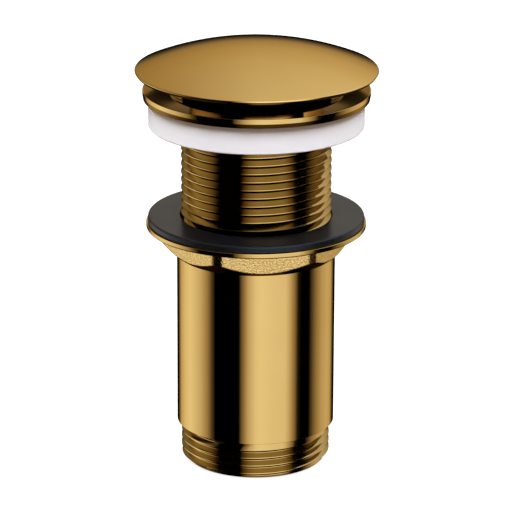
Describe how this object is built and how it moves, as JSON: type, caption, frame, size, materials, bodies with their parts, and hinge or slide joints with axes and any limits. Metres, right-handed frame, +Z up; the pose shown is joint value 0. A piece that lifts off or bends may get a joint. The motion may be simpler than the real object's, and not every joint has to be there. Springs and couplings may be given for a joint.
{
  "type": "pop-up basin waste",
  "caption": "Pop-up basin waste: domed push plug on a latching post over a dished flange with a threaded tail, a back nut with washers that clamps the basin, and a tail pipe.",
  "frame": {"origin": "centre of the outlet end, the lowest face", "axes": "+Z up the axis towards the cap; -Y is the side that the picture shows"},
  "size_m": [0.0672, 0.0672, 0.1203],
  "materials": {
    "polished_gold": "mirror-polished gold coating",
    "forged_gold": "gold coating over a forged, lightly blasted skin",
    "plain_brass": "turned brass",
    "stainless": "drawn stainless wire and strip",
    "black_rubber": "moulded matt rubber",
    "white_washer": "soft white moulded plastic"
  },
  "bodies": {
    "waste_body": {"flange_body": "polished_gold", "flange_washer": "white_washer", "tail_pipe": "polished_gold", "tail_gasket": "black_rubber", "latch_bridge": "plain_brass", "bridge_clip": "stainless", "latch_post": "plain_brass", "post_lock_nut": "plain_brass", "bump_ring": "black_rubber", "latch_spring": "stainless"},
    "plug": {"mushroom_cap": "polished_gold", "cap_stud": "stainless", "plug_collar": "polished_gold", "plug_seal": "black_rubber", "latch_sleeve": "plain_brass", "hook_band": "stainless", "stop_clip": "stainless"},
    "hook": {"latch_hook": "stainless"},
    "washer": {"clamp_washer": "black_rubber"},
    "nut": {"back_nut": "forged_gold"}
  },
  "joints": [
    {"name": "plug_slide", "type": "slide", "parent": "waste_body", "child": "plug", "axis": [0, 0, 1], "range_m": [-0.0056, 0], "stiffness_N_per_m": 3700, "springref_m": 0.003, "deforming": ["latch_spring"]},
    {"name": "hook_swing", "type": "hinge", "parent": "plug", "child": "hook", "pos_m": [0, -0.00788, 0.1068], "axis": [0, 1, 0], "range_deg": [0, 14.05]},
    {"name": "washer_lift", "type": "slide", "parent": "waste_body", "child": "washer", "axis": [0, 0, 1], "range_m": [0, 0.022]},
    {"name": "nut_turn", "type": "hinge", "parent": "washer", "child": "nut", "pos_m": [0, 0, 0.065], "axis": [0, 0, 1], "range_deg": [0, 3420]}
  ],
  "couplings": [
    {"joint": "hook_swing", "follows": "plug_slide", "rad_per_m": -43.67},
    {"joint": "washer_lift", "follows": "nut_turn", "m_per_rad": 0.00036749}
  ]
}
